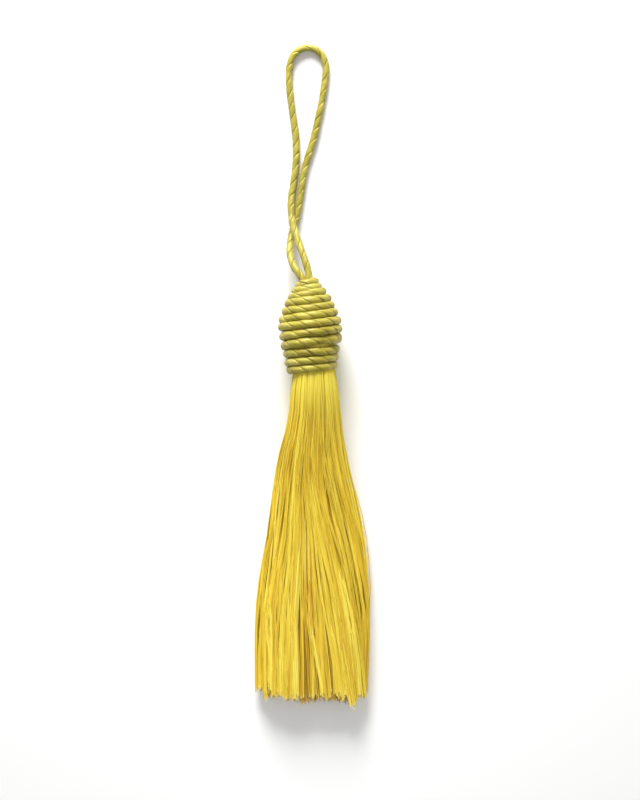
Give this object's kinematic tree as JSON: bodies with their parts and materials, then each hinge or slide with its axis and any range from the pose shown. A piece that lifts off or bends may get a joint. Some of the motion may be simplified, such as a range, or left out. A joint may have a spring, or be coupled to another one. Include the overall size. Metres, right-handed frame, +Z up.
{
  "type": "silk tassel",
  "caption": "Silk tassel lying flat, with a cord-wound egg-shaped head, a loose yarn skirt and a long twisted hanging loop.",
  "frame": {"origin": "on the surface that the tassel lies on, under the middle of the box round its head and skirt, without the loop", "axes": "+Y along the tassel from the skirt's cut ends to the head and the loop, +Z up from the surface, +X to the right seen from above with the loop away from the viewer"},
  "size_m": [0.0279, 0.1632, 0.0159],
  "materials": {
    "silk_yarn": "golden yellow silk yarn, combed straight, with a soft lengthwise sheen",
    "twisted_cord": "two-ply twisted silk cord in straw green with dark olive flecks"
  },
  "bodies": {
    "root": {"yarn_bundle": "silk_yarn", "head_winding": "twisted_cord", "hanging_loop": "twisted_cord"}
  },
  "joints": []
}
